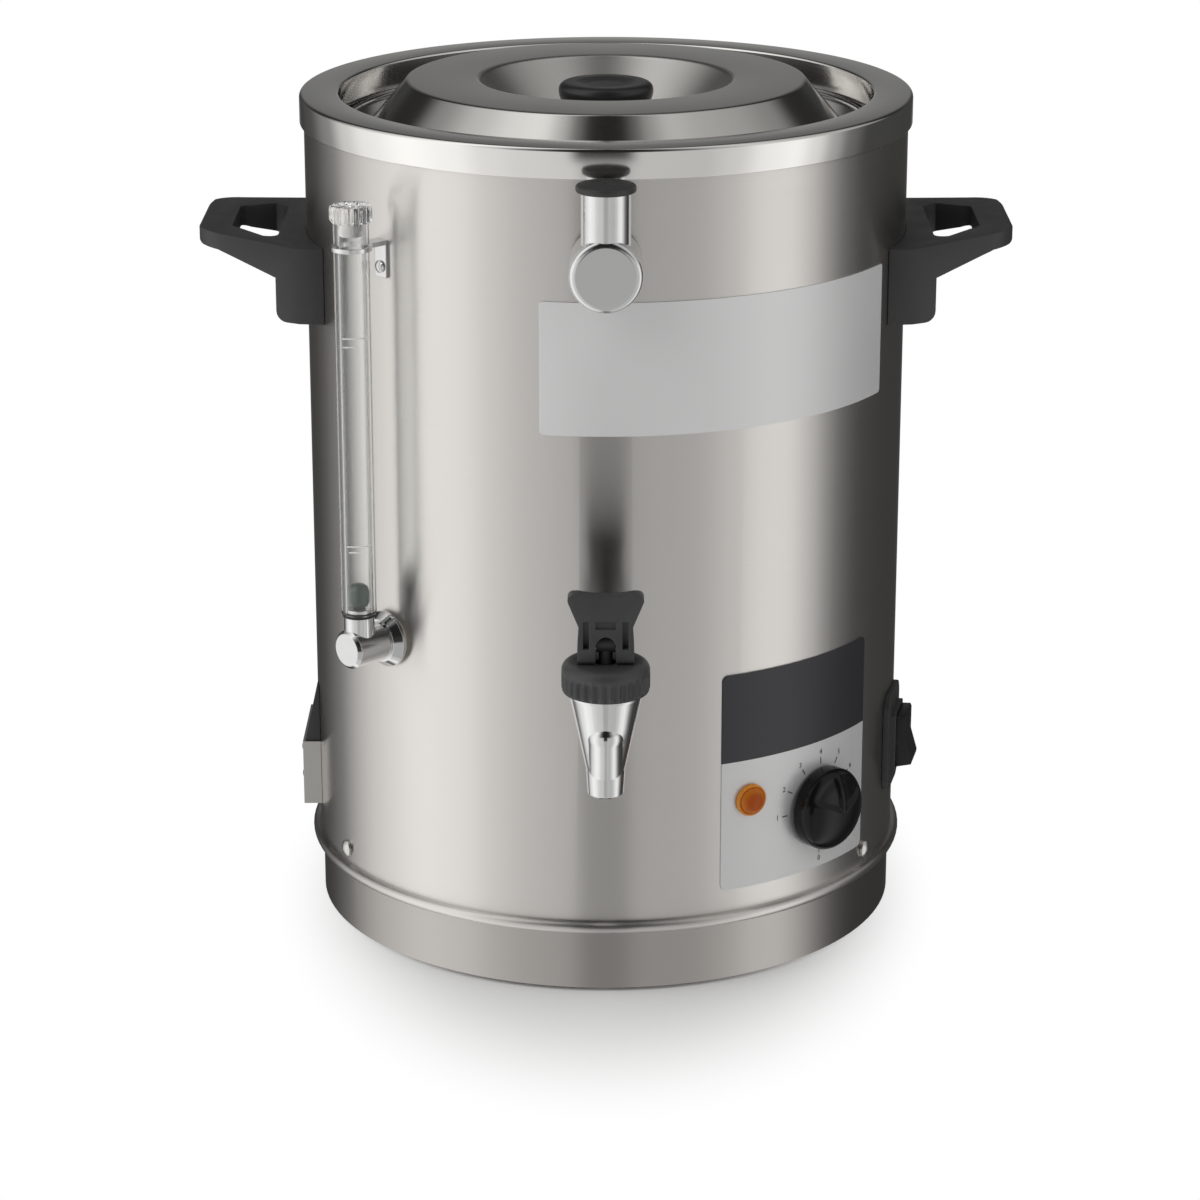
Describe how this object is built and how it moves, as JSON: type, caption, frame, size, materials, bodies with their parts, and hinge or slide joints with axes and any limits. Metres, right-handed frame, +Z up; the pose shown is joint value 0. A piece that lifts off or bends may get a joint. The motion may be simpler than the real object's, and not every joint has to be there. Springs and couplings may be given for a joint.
{
  "type": "hot chocolate dispenser",
  "caption": "Round stainless water-bath drink dispenser with a recessed lid, lever tap, sight gauge, water filler, loop handles and a thermostat panel.",
  "frame": {"origin": "on the table, on the axis of the round body", "axes": "+Z up, -Y towards the tap, +X towards the switch"},
  "size_m": [0.376, 0.3528, 0.3993],
  "materials": {
    "brushed_steel": "belt-ground stainless sheet, grain running round",
    "plain_steel": "spun stainless sheet, satin",
    "chrome": "bright chrome plate",
    "screw_steel": "bright steel",
    "black_plastic": "moulded black, fine grain",
    "black_gloss": "smooth black moulding",
    "black_rubber": "black rubber",
    "clear_tube": "clear acrylic tube",
    "green_float": "dark green moulding",
    "orange_lens": "clear orange lens",
    "panel_foil": "printed foil, dark field above a silver field",
    "silver_foil": "plain silver foil",
    "brass": "turned brass",
    "heater_sheath": "heat-tinted sheath",
    "copper": "drawn copper",
    "white_plastic": "white moulding",
    "cutout_plastic": "dark moulding",
    "silicone": "translucent silicone",
    "wire_sheath": "insulated wire"
  },
  "bodies": {
    "dispenser": {"casing": "brushed_steel", "base_skirt": "brushed_steel", "inner_pot": "plain_steel", "pot_rim": "plain_steel", "bath_floor": "plain_steel", "base_plate": "plain_steel", "cord_clamp": "plain_steel", "gauge_clip": "chrome", "gauge_elbow": "chrome", "gauge_rosette": "chrome", "fill_elbow": "chrome", "tap_body": "chrome", "tap_union_nut": "chrome", "casing_screws": "screw_steel", "handle_screws": "screw_steel", "handle_nuts": "screw_steel", "gauge_clip_rivet": "screw_steel", "tap_spring": "screw_steel", "thermostat_screws": "screw_steel", "cord_clamp_screws": "screw_steel", "handle_left": "black_plastic", "handle_right": "black_plastic", "tap_bonnet": "black_plastic", "cord_housing": "black_plastic", "pilot_nut": "black_plastic", "switch_plate": "black_gloss", "switch_body": "black_gloss", "feet": "black_rubber", "gauge_washer": "black_rubber", "fill_gasket": "black_rubber", "tap_gasket": "black_rubber", "cord_gland": "black_rubber", "gauge_tube": "clear_tube", "gauge_cap": "clear_tube", "pilot_lens": "orange_lens", "control_panel": "panel_foil", "front_foil": "silver_foil", "heater_nuts": "brass", "gauge_nut": "brass", "fill_nut": "brass", "heating_element": "heater_sheath", "sensor_bulb": "copper", "terminal_block": "white_plastic", "pilot_body": "white_plastic", "thermostat_body": "white_plastic", "safety_cutout": "cutout_plastic", "gauge_gasket": "silicone", "wiring": "wire_sheath"},
    "lid": {"lid": "plain_steel", "lid_knob": "black_plastic", "lid_knob_screw": "screw_steel"},
    "fill_plug": {"fill_plug": "black_rubber"},
    "gauge_float": {"gauge_float": "green_float"},
    "tap_stem": {"tap_stem": "black_plastic", "tap_seat_cup": "silicone"},
    "tap_lever": {"tap_lever": "black_plastic", "tap_pin": "screw_steel"},
    "thermostat_knob": {"thermostat_knob": "black_gloss", "thermostat_spindle": "screw_steel"},
    "switch_rocker": {"switch_rocker": "black_gloss"}
  },
  "joints": [
    {"name": "lid_lift", "type": "slide", "parent": "dispenser", "child": "lid", "axis": [0, 0, 1], "range_m": [0, 0.2]},
    {"name": "plug_pull", "type": "slide", "parent": "dispenser", "child": "fill_plug", "axis": [0, 0, 1], "range_m": [0, 0.06]},
    {"name": "float_rise", "type": "slide", "parent": "dispenser", "child": "gauge_float", "axis": [0, 0, 1], "range_m": [0, 0.159]},
    {"name": "stem_lift", "type": "slide", "parent": "dispenser", "child": "tap_stem", "axis": [0, 0, 1], "range_m": [0, 0.004], "stiffness_N_per_m": 350, "springref_m": -0.012, "deforming": ["tap_spring"]},
    {"name": "lever_tilt", "type": "hinge", "parent": "tap_stem", "child": "tap_lever", "pos_m": [0, -0.19, 0.1876], "axis": [1, 0, 0], "range_deg": [0, 40]},
    {"name": "dial_turn", "type": "hinge", "parent": "dispenser", "child": "thermostat_knob", "pos_m": [0.0997, -0.0997, 0.077], "axis": [0.7071, -0.7071, 0], "range_deg": [-60, 180]},
    {"name": "rocker_tip", "type": "hinge", "parent": "dispenser", "child": "switch_rocker", "pos_m": [0.13961, -0.03095, 0.0865], "axis": [0.2164, 0.9763, 0], "range_deg": [0, 16]}
  ],
  "couplings": [
    {"joint": "lever_tilt", "follows": "stem_lift", "rad_per_m": 174}
  ]
}
